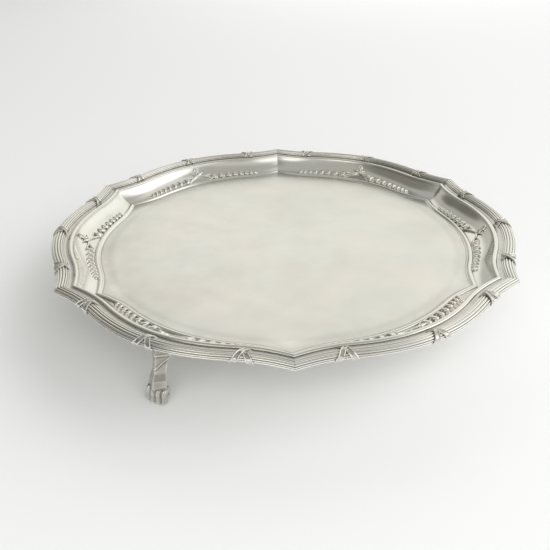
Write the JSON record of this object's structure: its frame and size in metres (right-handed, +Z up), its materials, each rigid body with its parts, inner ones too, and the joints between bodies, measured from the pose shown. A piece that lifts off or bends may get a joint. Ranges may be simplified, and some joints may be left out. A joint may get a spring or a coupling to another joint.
{
  "type": "footed silver salver",
  "caption": "Six-lobed silver salver with a flat field, hollow bouge with husk festoons, reeded border bound with ribbon ties, and splayed lion's-paw feet.",
  "frame": {"origin": "on the table plane, under the middle of the dish", "axes": "+Z up through the middle of the dish; a lobe's middle and a foot on +X; a point of the border on +Y and on -Y"},
  "size_m": [0.2078, 0.2098, 0.0303],
  "materials": {
    "dish_silver": "satin",
    "border_silver": "polished",
    "tie_silver": "polished",
    "festoon_silver": "polished",
    "foot_silver": "polished"
  },
  "bodies": {
    "root": {"dish": "dish_silver", "border_section_1": "border_silver", "border_section_2": "border_silver", "border_section_3": "border_silver", "border_section_4": "border_silver", "border_section_5": "border_silver", "border_section_6": "border_silver", "ribbon_tie_01": "tie_silver", "ribbon_tie_02": "tie_silver", "ribbon_tie_03": "tie_silver", "ribbon_tie_04": "tie_silver", "ribbon_tie_05": "tie_silver", "ribbon_tie_06": "tie_silver", "ribbon_tie_07": "tie_silver", "ribbon_tie_08": "tie_silver", "ribbon_tie_09": "tie_silver", "ribbon_tie_10": "tie_silver", "ribbon_tie_11": "tie_silver", "ribbon_tie_12": "tie_silver", "ribbon_tie_13": "tie_silver", "ribbon_tie_14": "tie_silver", "ribbon_tie_15": "tie_silver", "ribbon_tie_16": "tie_silver", "ribbon_tie_17": "tie_silver", "ribbon_tie_18": "tie_silver", "husk_festoon_1": "festoon_silver", "husk_festoon_2": "festoon_silver", "husk_festoon_3": "festoon_silver", "husk_festoon_4": "festoon_silver", "husk_festoon_5": "festoon_silver", "husk_festoon_6": "festoon_silver", "paw_foot_1": "foot_silver", "paw_foot_2": "foot_silver", "paw_foot_3": "foot_silver"}
  },
  "joints": []
}
